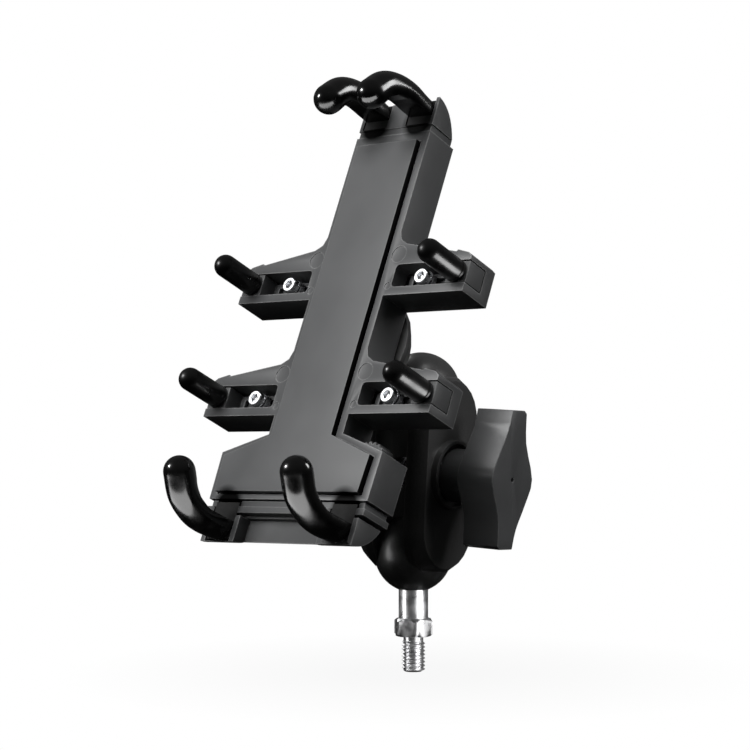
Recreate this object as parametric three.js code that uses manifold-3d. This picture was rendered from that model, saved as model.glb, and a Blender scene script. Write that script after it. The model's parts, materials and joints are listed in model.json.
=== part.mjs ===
// Eight-claw phone holder on a double-ball clamp arm with an M8 ball stud.
// Millimetres, +Z up along the stud, origin in the middle of the stud's free end.
import * as THREE from 'three';
import { mergeVertices } from 'three/addons/utils/BufferGeometryUtils.js';
import Module from 'manifold-3d';

const wasm = await Module();
wasm.setup();

// ---- Driving dimensions -------------------------------------------------------------------

const GAP = 0.3;                 // clearance between neighbouring pieces
const CUT = 1;                   // how far a cutting tool runs past the face it opens
const FINE = 24;                 // sides of a large round face
const COARSE = 12;               // sides of a small round face

// Ball stud: M8 thread, hex, neck and a shank moulded into the ball.
const THREAD_R = 4;
const THREAD_TOP = 12;
const HEX_AF = 12;
const HEX_TOP = 18;
const HEX_TURN = 15;
const NECK_R = 5;
const UPPER_NECK_R = 4.2;
const NECK_STEP = 1;             // how much slimmer the shank in the ball is than the neck
const NECK_IN_BALL = 1.5;
const SHANK_PAST_BALL = 7;       // how far the shank runs past the ball's centre
const BALL_R = 13.2;
const LOWER_BALL_Z = 40;

// Double-socket arm. Its own frame has X along the clamp bolt and Z from ball to ball.
const BALL_TO_BALL = 55;
const LEAN_SIDE = 2.224;
const LEAN_BACK = 1.583;
const HALF_IN = 6.5;
const HALF_RIM = 9.6;            // where the straight rim ends and the bevel starts
const HALF_OUT = 14;
const RIM_R = 15.5;
const RIM_END = 7.2;             // how far the rim runs past each ball's centre
const FACE_R = 13.8;
const FACE_END = 4.2;
const SOCKET_R = BALL_R + GAP;
const CLAMP_OPENING = 2;
const COLLAR_R = 11.8;
const COLLAR_BORE = 10.6;
const COLLAR_OUT = 16.4;
const BOLT_R = 3;
const BOLT_END = 31;
const BOLT_HEAD_AF = 10;
const BOLT_HEAD_H = 4;
const ARM_SPRING_R = 4.9;
const ARM_SPRING_WIRE = 0.6;
const WASHER_R = 8;

// Wing knob.
const HUB_R = 9;
const KNOB_IN = 15.4;
const WING_IN = 24.8;
const KNOB_OUT = 38.8;
const INSERT_R = 5;
const INSERT_END = 27.6;
const KNOB_MARK_R = 0.8;         // small blind hole in the middle of the knob's end face
const KNOB_MARK_DEPTH = 1.2;

// One flank of the wing as [half width, along] pairs: its cut corner, then a smooth run from tip to tip.
// The other flank is the same turned half round.
const WING_CORNER = [5.6, 22.9];
const WING_RUN = [[6.9, 21.9], [7.4, 12], [11.9, 0], [8.6, -8], [3.6, -16.5], [1.7, -23]];

// Holder. Its own frame has X across, Y up the column and Z out of the front face.
const HOLDER_YAW = -5;
const HOLDER_PITCH = 65;
const HOLDER_ROLL = 1.75;
const BALL_BACK = 47;
const BALL_DOWN = -1;
const DEPTH = 13;
const COLUMN = 16.2;
const COLUMN_TOP = 72.2;
const ARM_END = 49.2;
const ARM_BAR = 2.9;
const SLOT_HEIGHT = 8.1;
const SLOT_DEPTH = 8.5;
const SLOT_START = 18.5;
const SLOT_CORNER = 1.4;
const ARMS = [
  { row: 'upper', bottom: 11.3, root: 30.6, end: 24.3 },
  { row: 'lower', bottom: -30.6, root: -11.4, end: -17.3 },
];
const SIDES = [{ side: 'left', sign: -1 }, { side: 'right', sign: 1 }];
const FOOT = 34.4;
const SHOULDER = 34.9;
const SHOULDER_TOP = -37.4;
const SHOULDER_END = -43.7;
const FOOT_BOTTOM = -60.2;
const COVER = 1.8;
const WALL = 3;

// Centre pad, as far inside the frame's edges as these say.
const PAD_SIDE = 3;
const PAD_TOP = 4;
const PAD_BOTTOM = 2;
const PAD_FRONT = 2;
const PAD_RECESS = 0.8;

// Side fingers and their screws.
const FINGER_X = 44.7;
const FINGER_R = 3.9;
const FINGER_TOP = 18.3;
const FINGER_PEG_R = 2;
const SCREW_X = 29;
const TRAVEL_IN = 8;
const TRAVEL_OUT = 6;

// Top and bottom clamps.
const CLAW_R = 5.2;
const TOP_CLAW_X = 9.5;
const BOTTOM_CLAW_X = 25.5;
const TONGUE = 7.5;
const TONGUE_BACK = -11.1;
const TONGUE_FRONT = -8.8;
const TOP_TONGUE_END = 26;
const BOTTOM_TONGUE_END = -30;

// Lock wheel in the right shoulder.
const WHEEL = { x: 25.2, y: -46.4, radius: 8, back: -9.5, front: -3.9, teeth: 24 };

const FINISH = {
  steel: { color: 0xb9bcc0, roughness: 0.25, metalness: 1 },
  zinc: { color: 0xd2d4d6, roughness: 0.3, metalness: 1 },
  brass: { color: 0xb08d4a, roughness: 0.35, metalness: 1 },
  body: { color: 0x2b2c2e, roughness: 0.42, metalness: 0 },
  pad: { color: 0x303133, roughness: 0.5, metalness: 0 },
  rubber: { color: 0x0d0d0e, roughness: 0.2, metalness: 0 },
  ball: { color: 0x121213, roughness: 0.24, metalness: 0 },
};

// ---- Solids -------------------------------------------------------------------------------

// Merges a geometry's shared vertices, drops empty triangles and turns its faces outwards.
function solid(geometry) {
  const bare = geometry.clone();
  bare.deleteAttribute('normal');
  bare.deleteAttribute('uv');
  const merged = mergeVertices(bare, 1e-4);
  const at = merged.attributes.position;
  const triangles = [];
  let volume = 0;
  const [a, b, c] = [new THREE.Vector3(), new THREE.Vector3(), new THREE.Vector3()];
  for (let i = 0; i < merged.index.count; i += 3) {
    const [p, q, r] = [0, 1, 2].map((step) => merged.index.getX(i + step));
    if (p !== q && q !== r && r !== p) {
      triangles.push([p, q, r]);
      volume += a.fromBufferAttribute(at, p).dot(
        b.fromBufferAttribute(at, q).cross(c.fromBufferAttribute(at, r)));
    }
  }
  const outward = volume < 0 ? triangles.map(([p, q, r]) => [p, r, q]) : triangles;
  return new wasm.Manifold(new wasm.Mesh({
    numProp: 3,
    vertProperties: Float32Array.from(at.array),
    triVerts: Uint32Array.from(outward.flat()),
  }));
}

const asSolid = (piece) => (piece instanceof wasm.Manifold ? piece : solid(piece));
const join = (...pieces) => pieces.map(asSolid).reduce((all, next) => all.add(next));
const cut = (body, ...tools) =>
  tools.map(asSolid).reduce((left, tool) => left.subtract(tool), asSolid(body));

// A named mesh of one solid.
function part(name, body, finish) {
  const { vertProperties, triVerts } = asSolid(body).getMesh();
  const geometry = new THREE.BufferGeometry();
  geometry.setAttribute('position', new THREE.BufferAttribute(vertProperties, 3));
  geometry.setIndex(new THREE.BufferAttribute(triVerts, 1));
  geometry.computeVertexNormals();
  const mesh = new THREE.Mesh(geometry, new THREE.MeshStandardMaterial(finish));
  mesh.name = name;
  return mesh;
}

// A box between two corners.
function block(low, high) {
  const size = high.map((value, axis) => value - low[axis]);
  const middle = high.map((value, axis) => (value + low[axis]) / 2);
  return new THREE.BoxGeometry(...size).translate(...middle);
}

// A round bar along Z.
function rod(radius, bottom, top, sides = COARSE, x = 0, y = 0) {
  return new THREE.CylinderGeometry(radius, radius, top - bottom, sides)
    .rotateX(Math.PI / 2).translate(x, y, (top + bottom) / 2);
}

// A body turned about Z from [radius, height] pairs.
function turned(profile, sides = FINE) {
  const points = profile.map(([radius, height]) => new THREE.Vector2(radius, height));
  return new THREE.LatheGeometry(points, sides).rotateX(Math.PI / 2);
}

// An outline in XY, a list of points or a Shape, pulled from one height to another.
function prism(outline, bottom, top, curveSegments = 10) {
  const shape = outline instanceof THREE.Shape
    ? outline : new THREE.Shape(outline.map(([x, y]) => new THREE.Vector2(x, y)));
  return new THREE.ExtrudeGeometry(shape, { depth: top - bottom, bevelEnabled: false, curveSegments })
    .translate(0, 0, bottom);
}

// Turns a body drawn with (x, y, z) = (p, q, depth) so that its depth runs along X: (depth, p, q).
const SIDEWAYS = new THREE.Matrix4().makeBasis(
  new THREE.Vector3(0, 1, 0), new THREE.Vector3(0, 0, 1), new THREE.Vector3(1, 0, 0));
const sideways = (geometry) => geometry.applyMatrix4(SIDEWAYS);

// A hexagonal bar along Z, by its size across flats.
const hexBar = (acrossFlats, bottom, top) => rod(acrossFlats / Math.sqrt(3), bottom, top, 6);

// Points of an arc, as [first, second] pairs round a centre, in degrees.
function arc(centre, radius, from, to, steps) {
  return Array.from({ length: steps + 1 }, (_, i) => {
    const angle = THREE.MathUtils.degToRad(from + ((to - from) * i) / steps);
    return [centre[0] + radius * Math.cos(angle), centre[1] + radius * Math.sin(angle)];
  });
}

// A coil spring along Z with free ends.
class Helix extends THREE.Curve {
  constructor(radius, bottom, top, turns) {
    super();
    Object.assign(this, { radius, bottom, top, turns });
  }

  getPoint(t, target = new THREE.Vector3()) {
    const angle = 2 * Math.PI * this.turns * t;
    return target.set(
      this.radius * Math.cos(angle),
      this.radius * Math.sin(angle),
      this.bottom + (this.top - this.bottom) * t,
    );
  }
}

function coil(radius, wire, bottom, top, turns, wireSides = 4, stepsPerTurn = 8) {
  const section = new THREE.Shape(
    arc([0, 0], wire, 0, 360, wireSides).slice(0, wireSides).map(([x, y]) => new THREE.Vector2(x, y)));
  return new THREE.ExtrudeGeometry(section, {
    extrudePath: new Helix(radius, bottom + wire, top - wire, turns),
    steps: Math.round(turns * stepsPerTurn),
  });
}

// A round bar along a smooth path with a domed tip at its last point.
function claw(path, radius) {
  const curve = new THREE.CatmullRomCurve3(path.map((point) => new THREE.Vector3(...point)));
  const section = new THREE.Shape(
    arc([0, 0], radius, 0, 360, COARSE).slice(0, COARSE).map(([x, y]) => new THREE.Vector2(x, y)));
  const bar = new THREE.ExtrudeGeometry(section, { extrudePath: curve, steps: 8 });
  const tip = new THREE.SphereGeometry(radius, COARSE, 6).translate(...path.at(-1));
  return join(bar, tip);
}

// ---- Stud and lower ball ------------------------------------------------------------------

function ballStud() {
  const chamfer = 0.8;
  const shank = NECK_R - NECK_STEP;
  const shankTop = LOWER_BALL_Z + SHANK_PAST_BALL;
  const neckTop = LOWER_BALL_Z - BALL_R + NECK_IN_BALL;
  const bar = turned([
    [0, 0], [THREAD_R - chamfer, 0], [THREAD_R, chamfer], [THREAD_R, THREAD_TOP + CUT],
    [NECK_R, THREAD_TOP + CUT], [NECK_R, neckTop], [shank, neckTop], [shank, shankTop], [0, shankTop],
  ]);
  const nut = hexBar(HEX_AF, THREAD_TOP, HEX_TOP).rotateZ(THREE.MathUtils.degToRad(HEX_TURN));
  return part('ball_stud', join(bar, nut), FINISH.steel);
}

// A ball round the origin with a blind bore for a neck and its shank, open at the bottom.
function ball(name, neck) {
  const shank = neck - NECK_STEP + GAP;
  const shankDepth = SHANK_PAST_BALL + GAP;
  const neckDepth = -BALL_R + NECK_IN_BALL + GAP;
  const outside = arc([0, 0], BALL_R, -66, 90, 10);
  return part(name, turned([
    [0, shankDepth], [shank, shankDepth], [shank, neckDepth], [neck + GAP, neckDepth],
    [neck + GAP, outside[0][1]], ...outside.slice(0, -1), [0, BALL_R],
  ]), FINISH.ball);
}

// ---- Arm ----------------------------------------------------------------------------------

// Moves a body drawn round the Z axis onto the clamp bolt's axis.
const onBolt = (geometry) => sideways(geometry).translate(0, 0, BALL_TO_BALL / 2);

// The flat-sided outline round both balls at one distance along the bolt, as [x, y, z] points.
function armOutline(radius, endPastBall, x) {
  const centre = radius - endPastBall;
  return [
    ...arc([0, centre], radius, 180, 360, COARSE),
    ...arc([0, BALL_TO_BALL - centre], radius, 0, 180, COARSE),
  ].map(([y, z]) => [x, y, z]);
}

// One half of the arm, from |X| = HALF_IN to HALF_OUT on the side given by its sign, bevelled outside.
function armHalf(sign) {
  const body = wasm.Manifold.hull([
    ...armOutline(RIM_R, RIM_END, sign * HALF_IN),
    ...armOutline(RIM_R, RIM_END, sign * HALF_RIM),
    ...armOutline(FACE_R, FACE_END, sign * HALF_OUT),
  ]);
  const socket = () => new THREE.SphereGeometry(SOCKET_R, 24, 12);
  return cut(
    body,
    socket(),
    socket().translate(0, 0, BALL_TO_BALL),
    onBolt(rod(BOLT_R + GAP, -HALF_OUT - CUT, HALF_OUT + CUT)),
  );
}

function fixedHalf() {
  const pocket = onBolt(hexBar(BOLT_HEAD_AF + 2 * GAP, -HALF_OUT - CUT, -HALF_OUT + BOLT_HEAD_H + GAP));
  return part('arm_half_fixed', cut(armHalf(-1), pocket), FINISH.body);
}

function movingHalf() {
  const collar = onBolt(turned([
    [COLLAR_BORE, HALF_OUT - CUT / 2], [COLLAR_R, HALF_OUT - CUT / 2], [COLLAR_R, COLLAR_OUT],
    [COLLAR_BORE, COLLAR_OUT], [COLLAR_BORE, HALF_OUT - CUT / 2],
  ]));
  return part('arm_half_moving', join(armHalf(1), collar), FINISH.body);
}

function clampBolt() {
  const headOut = -HALF_OUT + GAP;
  const head = onBolt(hexBar(BOLT_HEAD_AF, headOut, headOut + BOLT_HEAD_H - GAP));
  return part('clamp_bolt', join(head, onBolt(rod(BOLT_R, headOut + CUT, BOLT_END))), FINISH.zinc);
}

function armSpring() {
  const reach = HALF_IN - GAP;
  const spring = coil(ARM_SPRING_R - ARM_SPRING_WIRE, ARM_SPRING_WIRE, -reach, reach, 4, 5, 10);
  return part('arm_spring', onBolt(spring), FINISH.steel);
}

function knobWasher() {
  const ring = turned([
    [BOLT_R + GAP, HALF_OUT + GAP], [WASHER_R, HALF_OUT + GAP], [WASHER_R, KNOB_IN - GAP],
    [BOLT_R + GAP, KNOB_IN - GAP], [BOLT_R + GAP, HALF_OUT + GAP],
  ], COARSE);
  return part('knob_washer', onBolt(ring), FINISH.zinc);
}

function clampKnob() {
  const run = new THREE.SplineCurve(WING_RUN.map(([width, along]) => new THREE.Vector2(width, along)));
  const flank = [WING_CORNER, ...run.getPoints(15).map(({ x, y }) => [x, y])];
  const wing = prism([...flank, ...flank.map(([width, along]) => [-width, -along])], WING_IN, KNOB_OUT);
  const boreEnd = BOLT_END + CLAMP_OPENING + GAP;
  return part('clamp_knob', cut(
    join(onBolt(rod(HUB_R, KNOB_IN, WING_IN + CUT, FINE)), onBolt(wing)),
    onBolt(rod(INSERT_R + GAP, KNOB_IN - CUT, INSERT_END + GAP)),
    onBolt(rod(BOLT_R + GAP, INSERT_END, boreEnd)),
    onBolt(rod(KNOB_MARK_R, KNOB_OUT - KNOB_MARK_DEPTH, KNOB_OUT + CUT, 10)),
  ), FINISH.body);
}

function knobInsert() {
  const sleeve = turned([
    [BOLT_R + GAP, KNOB_IN + GAP], [INSERT_R, KNOB_IN + GAP], [INSERT_R, INSERT_END],
    [BOLT_R + GAP, INSERT_END], [BOLT_R + GAP, KNOB_IN + GAP],
  ], COARSE);
  return part('knob_insert', onBolt(sleeve), FINISH.brass);
}

// ---- Holder's rear: base, ball, cover -----------------------------------------------------

const BASE_SCREWS = [[9, 9], [-9, 9], [9, -11], [-9, -11]];
const COVER_SCREWS = [[10, 64], [-10, 64], [10, -36], [-10, -36]];
const BASE_PROFILE = [
  [0, -DEPTH - GAP], [19.5, -DEPTH - GAP], [19.5, -DEPTH - 2.2], [15.2, -21], [9, -26.4],
  [UPPER_NECK_R, -29.5],
];
const SCREW_R = 1.5;
const SCREW_HOLE_R = SCREW_R + GAP;
const COUNTERBORE_R = 3.2;
const COVER_SCREW_R = 0.9;
const BASE_SCREW_HEAD_BACK = -19;
const BASE_SCREW_SEAT = -17;
const BASE_SCREW_END = -6;

// The base: a low cone on the back of the frame, its neck and the shank in the upper ball.
function ballBase() {
  const ballZ = -BALL_BACK;
  const neckBack = ballZ + BALL_R - NECK_IN_BALL;
  const shank = UPPER_NECK_R - NECK_STEP;
  const shankBack = ballZ - SHANK_PAST_BALL;
  const shell = turned([
    ...BASE_PROFILE, [UPPER_NECK_R, neckBack], [shank, neckBack], [shank, shankBack], [0, shankBack],
  ]).translate(0, BALL_DOWN, 0);
  const counterbores = BASE_SCREWS.map(([x, y]) => rod(COUNTERBORE_R, -30, BASE_SCREW_SEAT, COARSE, x, y));
  const holes = BASE_SCREWS.map(([x, y]) => rod(SCREW_HOLE_R, -18, -DEPTH + CUT, COARSE, x, y));
  return part('ball_base', cut(shell, ...counterbores, ...holes), FINISH.body);
}

function upperBall() {
  const mesh = ball('upper_ball_cover', UPPER_NECK_R);
  mesh.geometry.rotateX(Math.PI);
  mesh.geometry.translate(0, BALL_DOWN, -BALL_BACK);
  return mesh;
}

// A pan-head screw along Z whose head faces back (-Z).
function screw(name, x, y, headBack, seat, end, radius, finish) {
  return part(name, join(
    rod(radius * 1.75, headBack, seat - GAP, COARSE, x, y),
    rod(radius, seat - CUT, end, 10, x, y),
  ), finish);
}

const baseScrews = () => BASE_SCREWS.map(([x, y], i) => screw(
  `base_screw_${i + 1}`, x, y, BASE_SCREW_HEAD_BACK, BASE_SCREW_SEAT, BASE_SCREW_END, SCREW_R, FINISH.zinc));

const coverScrews = () => COVER_SCREWS.map(([x, y], i) =>
  screw(`cover_screw_${i + 1}`, x, y, -DEPTH - 0.8, -DEPTH, BASE_SCREW_END, COVER_SCREW_R, FINISH.zinc));

// The whole outline from its right-hand side.
const mirrored = (side) => [...side, ...side.toReversed().map(([x, y]) => [-x, y])];

// The outline shared by the rear recess and its cover, a column with a wider foot.
function rearOutline(inset) {
  const column = COLUMN - 2 - inset;
  const foot = FOOT - 2 - inset;
  const [bottom, top] = [FOOT_BOTTOM + WALL / 2 + inset, COLUMN_TOP - WALL / 2 - inset];
  return mirrored([[column, top], [column, -39.5 - inset], [foot, -45.5 - inset], [foot, bottom]]);
}

function rearCover() {
  const holes = [...BASE_SCREWS, ...COVER_SCREWS].map(([x, y]) =>
    rod(SCREW_HOLE_R, -DEPTH - CUT, -DEPTH + COVER + CUT, COARSE, x, y));
  const plate = prism(rearOutline(GAP), -DEPTH, -DEPTH + COVER - GAP);
  return part('rear_cover', cut(plate, ...holes), FINISH.body);
}

// ---- Front frame --------------------------------------------------------------------------

// The right-hand half of the front outline, from the top down.
function frameSide() {
  const fillet = 4;
  const side = [[COLUMN, COLUMN_TOP]];
  for (const { bottom, root, end } of ARMS) {
    side.push([COLUMN, root + fillet], [COLUMN + fillet * 0.28, root + fillet * 0.25]);
    side.push([COLUMN + fillet, root - fillet * 0.2]);
    side.push([42.4, end + 1.3], [42.9, end + 1.9], [ARM_END - 1.6, end + 0.7], [ARM_END, end - 0.6]);
    side.push([ARM_END, bottom], [COLUMN, bottom]);
  }
  side.push([COLUMN, SHOULDER_TOP], [SHOULDER, SHOULDER_END], [FOOT, FOOT_BOTTOM]);
  return side;
}

// The centre pad's outline, grown all round by the clearance given.
function padOutline(clearance) {
  const side = PAD_SIDE - clearance;
  return mirrored([
    [COLUMN - side, COLUMN_TOP - PAD_TOP + clearance], [COLUMN - side, SHOULDER_TOP - side * 0.4],
    [SHOULDER - side, SHOULDER_END - side * 0.6], [FOOT - side - 0.2, FOOT_BOTTOM + PAD_BOTTOM - clearance],
  ]);
}

// A slot open at the arm's end, with rounded corners at its inner end.
function slotOutline(sign, low) {
  const high = low + SLOT_HEIGHT;
  const inner = SLOT_START + SLOT_CORNER;
  return [
    [ARM_END + CUT, low], [ARM_END + CUT, high],
    ...arc([inner, high - SLOT_CORNER], SLOT_CORNER, 90, 180, 3),
    ...arc([inner, low + SLOT_CORNER], SLOT_CORNER, 180, 270, 3),
  ].map(([x, y]) => [sign * x, y]);
}

// The window that lets a slider's tongue run under the column, and two shallow marks beside the arm's root.
const WINDOW = { inner: 10, front: -6.4 };
const MARK_DEPTH = 0.25;
const LARGE_MARK = { radius: 3, x: 18.1, up: 3.8 };
const SMALL_MARK = { radius: 1.3, x: 17, up: 3.4 };

// Slots, tongue windows, screw holes and marks of one side arm.
function armCuts(sign, bottom) {
  const low = bottom + ARM_BAR;
  const high = low + SLOT_HEIGHT;
  const [windowA, windowB] = [sign * WINDOW.inner, sign * (SLOT_START + CUT)].toSorted((a, b) => a - b);
  return [
    prism(slotOutline(sign, low), -SLOT_DEPTH, CUT),
    block([windowA, low, -SLOT_DEPTH], [windowB, high, WINDOW.front]),
    rod(SCREW_HOLE_R, -DEPTH + 0.7, -SLOT_DEPTH + CUT, COARSE, sign * SCREW_X, (low + high) / 2),
    rod(LARGE_MARK.radius, -MARK_DEPTH, CUT, 18, sign * LARGE_MARK.x, high + LARGE_MARK.up),
    rod(SMALL_MARK.radius, -MARK_DEPTH, CUT, COARSE, sign * SMALL_MARK.x, bottom + SMALL_MARK.up),
  ];
}

function frontFrame() {
  const inside = -WALL;
  const body = prism(mirrored(frameSide()), -DEPTH, 0);
  const posts = [...BASE_SCREWS, ...COVER_SCREWS].map(([x, y], i) => cut(
    rod(i < BASE_SCREWS.length ? 3.4 : 2.3, -DEPTH + COVER, inside + CUT, COARSE, x, y),
    rod(SCREW_HOLE_R, -DEPTH, BASE_SCREW_END + GAP, 10, x, y),
  ));
  const springPost = join(
    rod(1.8, -DEPTH + COVER, inside + CUT, COARSE, 0, -9),
    new THREE.CylinderGeometry(0.9, 0.9, 7, 10).translate(0, -5.5, -6),
  );
  const hollow = cut(
    body,
    prism(rearOutline(0), -DEPTH - CUT, -DEPTH + COVER),
    block([-12.5, -46, -DEPTH], [12.5, 69, inside]),
    block([-31, -58, -DEPTH], [31, -45, inside]),
    block([-TONGUE - 2 * GAP, 60, TONGUE_BACK - 0.5], [TONGUE + 2 * GAP, COLUMN_TOP + CUT, -4]),
    block([-TONGUE - 2 * GAP, FOOT_BOTTOM - CUT, TONGUE_BACK - 0.5], [TONGUE + 2 * GAP, -50, -5]),
    rod(WHEEL.radius + 2 * GAP, -DEPTH, inside, FINE, WHEEL.x, WHEEL.y),
    prism(padOutline(GAP), -PAD_RECESS, CUT),
    ...SIDES.flatMap(({ sign }) => ARMS.flatMap(({ bottom }) => armCuts(sign, bottom))),
  );
  const pinBoss = cut(
    rod(3, inside - 0.5, inside + CUT, COARSE, WHEEL.x, WHEEL.y),
    rod(SCREW_HOLE_R, -DEPTH, inside, 10, WHEEL.x, WHEEL.y),
  );
  return part('front_frame', join(hollow, ...posts, springPost, pinBoss), FINISH.body);
}

const frontPad = () => part('front_pad', prism(padOutline(0), -PAD_RECESS + GAP, PAD_FRONT), FINISH.pad);

// ---- Top clamp ----------------------------------------------------------------------------

// A profile in (y, z) pulled across X.
const acrossX = (profile, from, to) => sideways(prism(profile, from, to));

// The quarter-round side of a clamp head; away is +1 for the top head and -1 for the bottom one.
function cheekProfile(foot, tip, away, back) {
  const profile = new THREE.Shape();
  profile.moveTo(away * foot, 0);
  profile.lineTo(away * tip, 0);
  profile.quadraticCurveTo(away * (tip - 1), back * 0.67, away * foot, back);
  return profile;
}

const TOP_LIP = 74.7;
const TOP_TIP = 85;
const HEAD_BACK = -11.3;
const CHEEK = 1.6;
const CLAW_SOCKET = { radius: 2, back: -4 };
const CLAW_POCKET = { half: 5.4, floor: -2 };
const CLAW_CHANNEL = { half: 4.3, depth: 2.6, start: 1.2, end: 6 };
const TOP_ROOT = 79.8;
const TOP_FLAT = 78;             // height of the flat underside of the top claws

function topClampHead() {
  const cheek = () => cheekProfile(TOP_LIP, TOP_TIP, 1, HEAD_BACK);
  const middle = cheekProfile(TOP_LIP, TOP_TIP - 1, 1, HEAD_BACK + 1.2);
  const neck = block([-COLUMN + 0.5, COLUMN_TOP + GAP, -DEPTH + 1.2], [COLUMN - 0.5, TOP_LIP + 0.2, -0.4]);
  const tongue = block([-TONGUE, TOP_TONGUE_END, TONGUE_BACK], [TONGUE, TOP_LIP, TONGUE_FRONT]);
  const lug = block([-2.2, TOP_TONGUE_END, TONGUE_FRONT - 0.2], [2.2, TOP_TONGUE_END + 3, -4]);
  const peg = new THREE.CylinderGeometry(0.9, 0.9, 4, 10).translate(0, TOP_TONGUE_END - 1.5, -6);
  const sockets = SIDES.map(({ sign }) =>
    rod(CLAW_SOCKET.radius + GAP, CLAW_SOCKET.back, CUT, COARSE, sign * TOP_CLAW_X, TOP_ROOT));
  const pockets = SIDES.map(({ sign }) => block(
    [sign * TOP_CLAW_X - CLAW_POCKET.half, TOP_LIP + 0.6, CLAW_POCKET.floor],
    [sign * TOP_CLAW_X + CLAW_POCKET.half, TOP_TIP + 1.5, CUT]));
  return part('top_clamp_head', cut(join(
    acrossX(cheek(), -COLUMN, -COLUMN + CHEEK),
    acrossX(cheek(), COLUMN - CHEEK, COLUMN),
    acrossX(middle, -COLUMN + CHEEK / 2, COLUMN - CHEEK / 2),
    neck, tongue, lug, peg,
  ), ...sockets, ...pockets), FINISH.body);
}

// A rubber claw: a spigot in the head's socket and a curved bar with a domed tip. The side that faces the
// phone is flat, with an open channel in it. Its path and its flat are in (y, z), drawn for the top head;
// away is -1 for a claw of the bottom head.
function headClaw(name, x, away, path, flat) {
  const [rootY, rootZ] = path[0];
  const upright = ([y, z]) => [x, y, z];
  const spigot = rod(CLAW_SOCKET.radius, CLAW_SOCKET.back + GAP, rootZ + CUT, COARSE, x, rootY);
  const shaving = acrossX([
    [flat - 9, rootZ - CUT], [flat, rootZ - CUT], [flat, 12], [flat - 4, 17], [flat - 9, 17],
  ], x - CLAW_R - CUT, x + CLAW_R + CUT);
  const { half, depth, start, end } = CLAW_CHANNEL;
  const channel = acrossX([
    [flat - CUT, start], [flat + depth, start], [flat + depth, end], [flat - CUT, end + 4],
  ], x - half, x + half);
  const bar = join(cut(claw(path.map(upright), CLAW_R), shaving, channel), spigot);
  return part(name, away < 0 ? bar.mirror([0, 1, 0]) : bar, FINISH.rubber);
}

const TOP_CLAW_PATH = [[TOP_ROOT, -1], [80.9, 8], [80.3, 15], [78, 20.2], [73.4, 24]];

const RETURN_SPRING = { radius: 1.9, wire: 0.4, foot: -7, depth: -6, turns: 10 };

function topReturnSpring() {
  const { radius, wire, foot, depth, turns } = RETURN_SPRING;
  const spring = coil(radius, wire, 0, TOP_TONGUE_END - 2 * GAP - foot, turns, 4, 7)
    .rotateX(-Math.PI / 2).translate(0, foot, depth);
  return part('top_return_spring', spring, FINISH.steel);
}

// ---- Bottom clamp -------------------------------------------------------------------------

const BOTTOM_NECK = 62.7;        // the neck, from the foot's edge to here, is set back from the lip
const BOTTOM_LIP = 64.9;
const BOTTOM_HEAD = 65.9;        // an open groove runs between the lip and the head
const BOTTOM_TIP = 75;
const BOTTOM_ROOT = 69;
const BOTTOM_FLAT = 67.8;
const BOTTOM_CHEEK = 32.8;
const RECESS_HALF = 18;
const RECESS_FLOOR = -5;
const GROOVE_FLOOR = -3;

function bottomClampHead() {
  const foot = -FOOT_BOTTOM + GAP;
  const neck = block([-FOOT + 1.3, -BOTTOM_NECK - 0.2, -DEPTH + 1], [FOOT - 1.3, -foot, -0.9]);
  const lip = block([-FOOT + 0.2, -BOTTOM_LIP, -DEPTH + 0.6], [FOOT - 0.2, -BOTTOM_NECK, -0.1]);
  const coreHalf = BOTTOM_CHEEK - 2;
  const core = block(
    [-coreHalf, -BOTTOM_HEAD - CUT, HEAD_BACK + 1.5], [coreHalf, -BOTTOM_LIP + 0.2, GROOVE_FLOOR]);
  const head = acrossX(cheekProfile(BOTTOM_HEAD, BOTTOM_TIP, -1, HEAD_BACK), -BOTTOM_CHEEK, BOTTOM_CHEEK);
  const recess = block(
    [-RECESS_HALF, -BOTTOM_TIP - CUT, RECESS_FLOOR], [RECESS_HALF, -BOTTOM_HEAD + 0.2, CUT]);
  const tongue = block([-TONGUE, -BOTTOM_HEAD, TONGUE_BACK], [TONGUE, BOTTOM_TONGUE_END, TONGUE_FRONT]);
  const brake = block([TONGUE - 1, -48.5, TONGUE_BACK + 0.4], [15.8, -45.5, TONGUE_FRONT + 2]);
  const sockets = SIDES.map(({ sign }) =>
    rod(CLAW_SOCKET.radius + GAP, CLAW_SOCKET.back, CUT, COARSE, sign * BOTTOM_CLAW_X, -BOTTOM_ROOT));
  const pockets = SIDES.map(({ sign }) => block(
    [sign * BOTTOM_CLAW_X - CLAW_POCKET.half, -BOTTOM_ROOT - CLAW_R - 2 * GAP, CLAW_POCKET.floor],
    [sign * BOTTOM_CLAW_X + CLAW_POCKET.half, -foot + CUT, CUT]));
  return part('bottom_clamp_head',
    cut(join(neck, lip, core, head, tongue, brake), recess, ...sockets, ...pockets), FINISH.body);
}

const BOTTOM_CLAW_PATH = [[BOTTOM_ROOT, -1], [70.1, 8], [69.3, 14], [66.4, 19.6], [60.8, 24]];

function lockWheel() {
  const { x, y, radius, back, front, teeth } = WHEEL;
  const outline = Array.from({ length: 2 * teeth }, (_, i) => {
    const angle = (Math.PI * i) / teeth;
    const reach = radius - (i % 2) * 0.8;
    return [x + reach * Math.cos(angle), y + reach * Math.sin(angle)];
  });
  return part('bottom_lock_wheel', cut(prism(outline, back, front),
    rod(SCREW_HOLE_R, back - CUT, front + CUT, COARSE, x, y)), FINISH.body);
}

const lockWheelPin = () => part('lock_wheel_pin',
  rod(1.5, -DEPTH + COVER + GAP, -WALL - GAP, COARSE, WHEEL.x, WHEEL.y), FINISH.steel);

// ---- Side fingers -------------------------------------------------------------------------

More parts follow.
